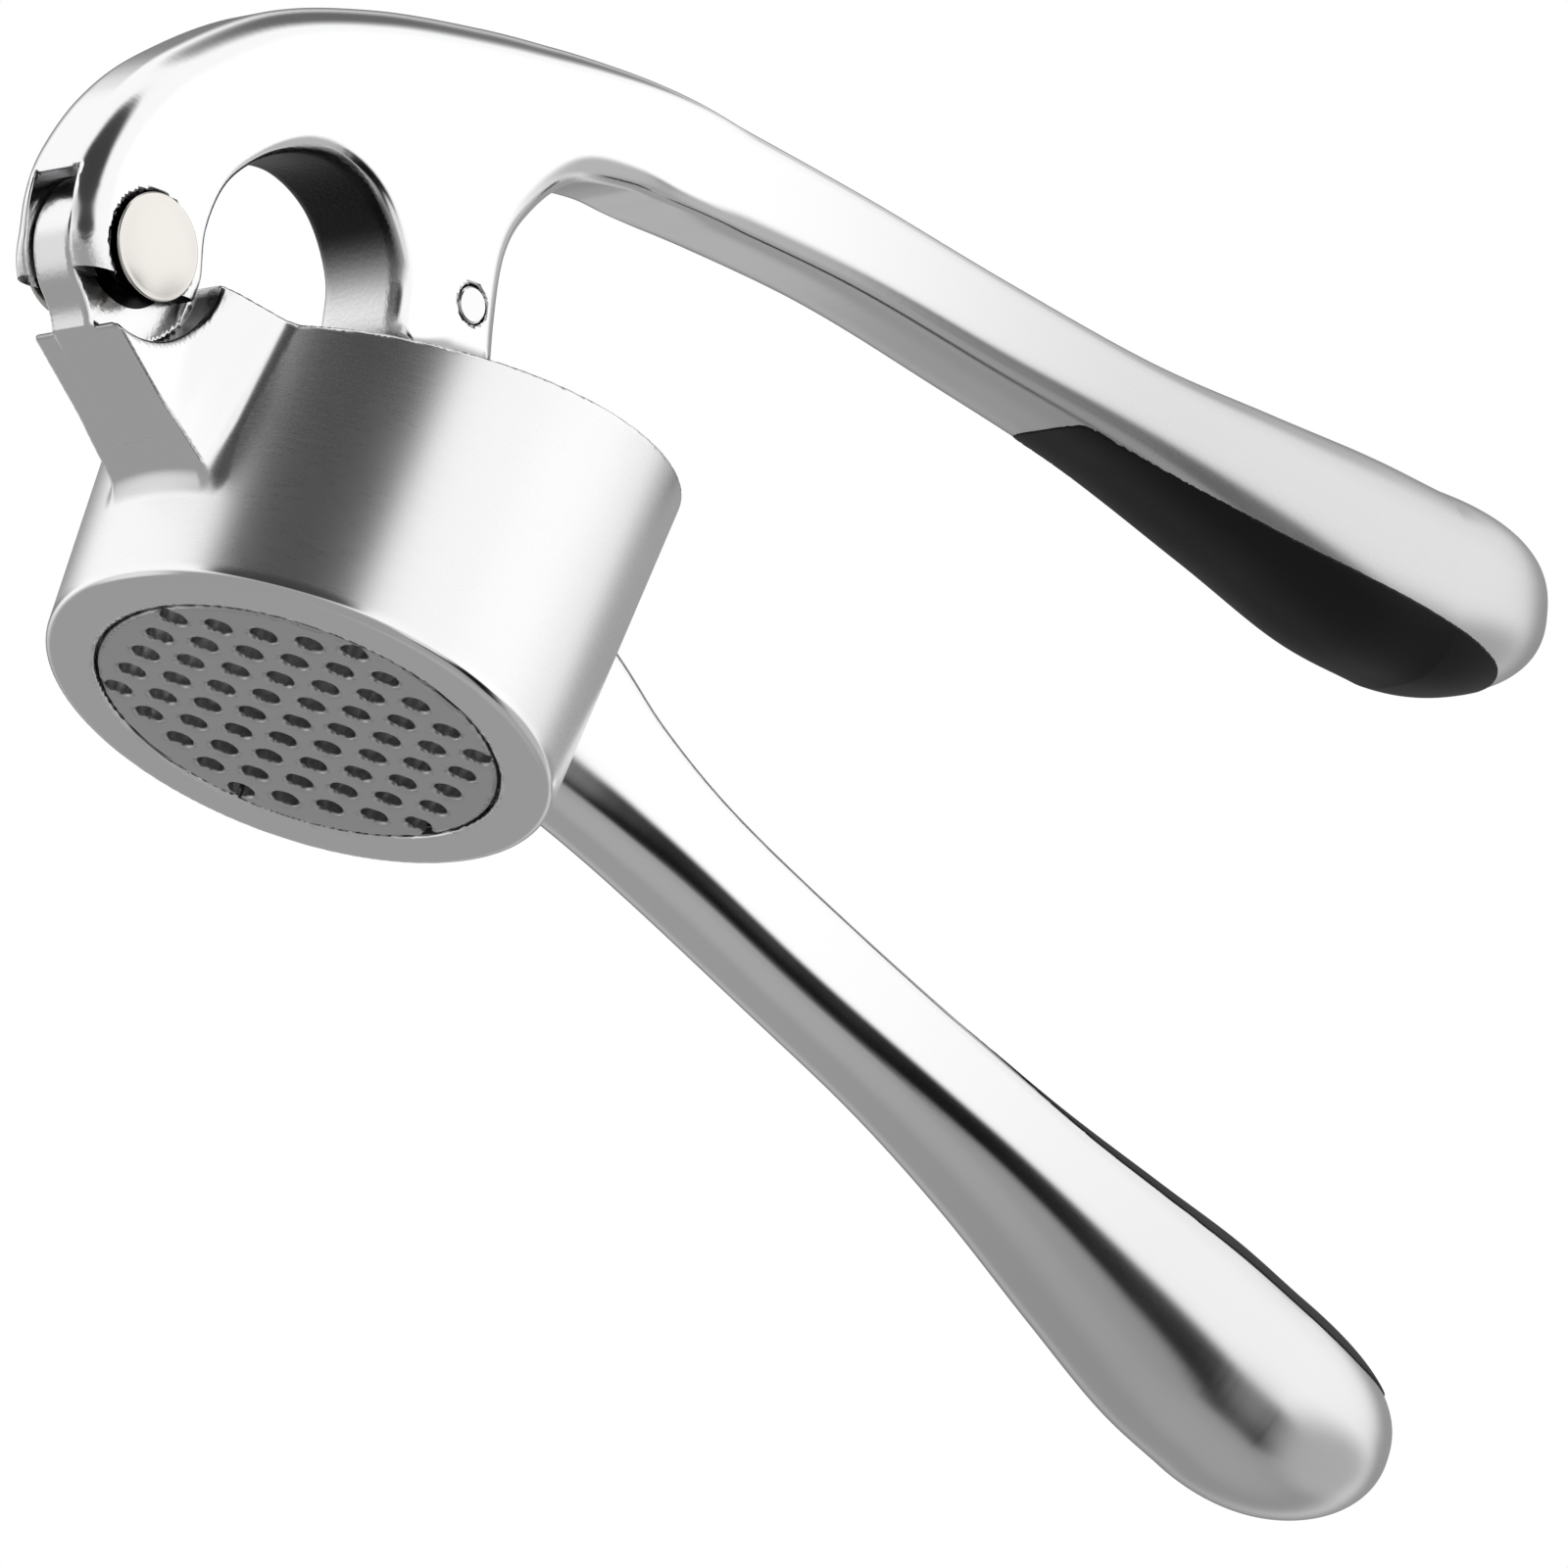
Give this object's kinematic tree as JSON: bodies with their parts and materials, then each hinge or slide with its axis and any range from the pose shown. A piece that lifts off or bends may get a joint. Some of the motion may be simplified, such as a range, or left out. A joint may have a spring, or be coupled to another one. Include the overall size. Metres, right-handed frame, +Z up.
{
  "type": "garlic press",
  "caption": "Two-handled garlic press, half open, with a conical hopper, a perforated sieve, a pivoting plunger and soft grip inserts.",
  "frame": {"origin": "centre of the underside of the object's box, on the surface that it stands on", "axes": "+X from the hinge toward the handles' free ends, +Y along the hinge pin, +Z up, along the hopper's axis"},
  "size_m": [0.1838, 0.0458, 0.0953],
  "materials": {
    "polished_zinc": "polished zinc casting, brushed satin on the hopper",
    "satin_zinc": "satin casting",
    "sieve_steel": "fine brushed",
    "pin_steel": "warm satin steel",
    "black_grip": "matte black, soft touch"
  },
  "bodies": {
    "lower_lever": {"lower_handle": "polished_zinc", "lower_grip_insert": "black_grip", "sieve_plate": "sieve_steel", "hinge_pin": "pin_steel"},
    "upper_lever": {"upper_handle": "polished_zinc", "upper_grip_insert": "black_grip", "plunger_pin": "pin_steel"},
    "press_plunger": {"plunger": "satin_zinc"}
  },
  "joints": [
    {"name": "handle_hinge", "type": "hinge", "parent": "lower_lever", "child": "upper_lever", "pos_m": [-0.08329, 0, 0.0226], "axis": [0, -1, 0], "range_deg": [-19, 50]},
    {"name": "plunger_pivot", "type": "hinge", "parent": "upper_lever", "child": "press_plunger", "pos_m": [-0.05068, 0, 0.0388], "axis": [0, -1, 0], "range_deg": [-17.6, 6.7]}
  ],
  "couplings": [
    {"joint": "plunger_pivot", "follows": "handle_hinge", "ratio": -0.35}
  ]
}
